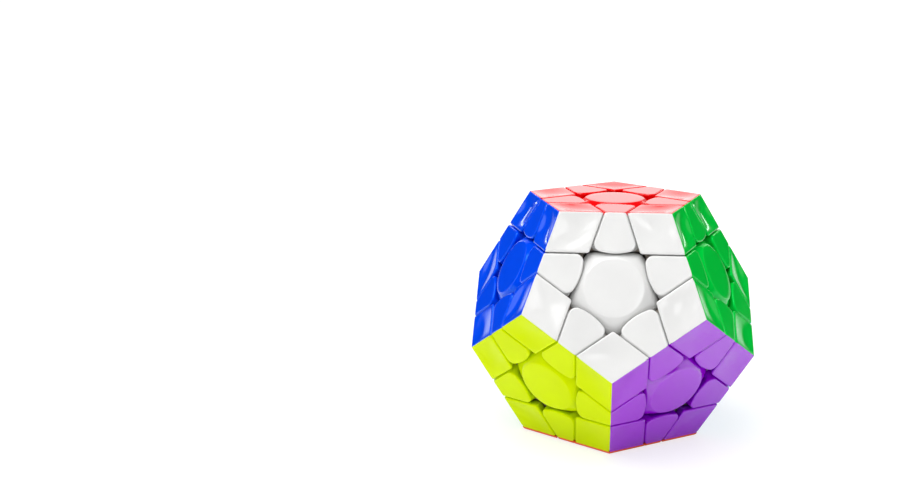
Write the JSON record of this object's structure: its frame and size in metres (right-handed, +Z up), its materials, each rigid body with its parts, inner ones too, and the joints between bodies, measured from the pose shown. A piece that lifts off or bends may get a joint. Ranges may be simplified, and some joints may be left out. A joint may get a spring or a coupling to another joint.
{
  "type": "dodecahedron twisty puzzle",
  "caption": "Hand-held dodecahedron twisty puzzle with glossy coloured faces cut into corner and edge tiles round raised centre caps, whose layers turn on a core.",
  "frame": {"origin": "middle of the bottom face, on the surface that the puzzle stands on", "axes": "+Z up through the middle of the puzzle and the middle of the top face; -Y towards the front, on the side of the white face; +X to the right"},
  "size_m": [0.0864, 0.0908, 0.0735],
  "materials": {
    "white_plastic": "glossy moulded white plastic",
    "red_plastic": "glossy moulded red plastic",
    "green_plastic": "glossy moulded green plastic",
    "cream_plastic": "glossy moulded cream plastic",
    "pink_plastic": "glossy moulded pink plastic",
    "blue_plastic": "glossy moulded blue plastic",
    "yellow_plastic": "glossy moulded yellow plastic",
    "purple_plastic": "glossy moulded purple plastic",
    "sky_plastic": "glossy moulded sky plastic",
    "grey_plastic": "glossy moulded grey plastic",
    "lime_plastic": "glossy moulded lime plastic",
    "orange_plastic": "glossy moulded orange plastic",
    "frame_plastic": "satin warm grey moulded plastic",
    "hub_plastic": "satin grey moulded plastic",
    "core_plastic": "satin white moulded plastic",
    "nut_plastic": "satin blue moulded plastic",
    "magnet_plating": "bright nickel plate",
    "screw_steel": "plain machined steel"
  },
  "bodies": {
    "core_body": {"red_tiles": "red_plastic", "green_tiles": "green_plastic", "pink_tiles": "pink_plastic", "blue_tiles": "blue_plastic", "yellow_tiles": "yellow_plastic", "purple_tiles": "purple_plastic", "sky_tiles": "sky_plastic", "grey_tiles": "grey_plastic", "lime_tiles": "lime_plastic", "corner_feet": "frame_plastic", "edge_feet": "frame_plastic", "hubs": "hub_plastic", "lower_ring_magnets": "magnet_plating", "piece_magnets": "magnet_plating", "core": "core_plastic", "axis_screws": "screw_steel", "tension_nuts": "nut_plastic", "upper_ring_magnets": "magnet_plating"},
    "front_layer": {"front_white_cap": "white_plastic", "front_white_corner_tiles": "white_plastic", "front_white_edge_tiles": "white_plastic", "front_red_tiles": "red_plastic", "front_green_tiles": "green_plastic", "front_purple_tiles": "purple_plastic", "front_yellow_tiles": "yellow_plastic", "front_blue_tiles": "blue_plastic", "front_corner_feet": "frame_plastic", "front_edge_feet": "frame_plastic", "front_hub": "hub_plastic", "front_lower_ring_magnet": "magnet_plating", "front_piece_magnets": "magnet_plating"},
    "rear_layer": {"rear_cream_cap": "cream_plastic", "rear_cream_corner_tiles": "cream_plastic", "rear_cream_edge_tiles": "cream_plastic", "rear_red_tiles": "red_plastic", "rear_green_tiles": "green_plastic", "rear_sky_tiles": "sky_plastic", "rear_grey_tiles": "grey_plastic", "rear_pink_tiles": "pink_plastic", "rear_corner_feet": "frame_plastic", "rear_edge_feet": "frame_plastic", "rear_hub": "hub_plastic", "rear_lower_ring_magnet": "magnet_plating", "rear_piece_magnets": "magnet_plating"},
    "base_layer": {"base_orange_cap": "orange_plastic", "base_orange_corner_tiles": "orange_plastic", "base_orange_edge_tiles": "orange_plastic", "base_yellow_tiles": "yellow_plastic", "base_purple_tiles": "purple_plastic", "base_sky_tiles": "sky_plastic", "base_grey_tiles": "grey_plastic", "base_lime_tiles": "lime_plastic", "base_corner_feet": "frame_plastic", "base_edge_feet": "frame_plastic", "base_hub": "hub_plastic", "base_lower_ring_magnet": "magnet_plating", "base_piece_magnets": "magnet_plating"}
  },
  "joints": [
    {"name": "front_layer_turn", "type": "hinge", "parent": "core_body", "child": "front_layer", "pos_m": [0, 0, 0.03675], "axis": [0, -0.8944, 0.4472], "continuous": true},
    {"name": "rear_layer_turn", "type": "hinge", "parent": "core_body", "child": "rear_layer", "pos_m": [0, 0, 0.03675], "axis": [0.5257, 0.7236, 0.4472], "continuous": true},
    {"name": "base_layer_turn", "type": "hinge", "parent": "core_body", "child": "base_layer", "pos_m": [0, 0, 0.03675], "axis": [0, 0, -1], "continuous": true}
  ]
}
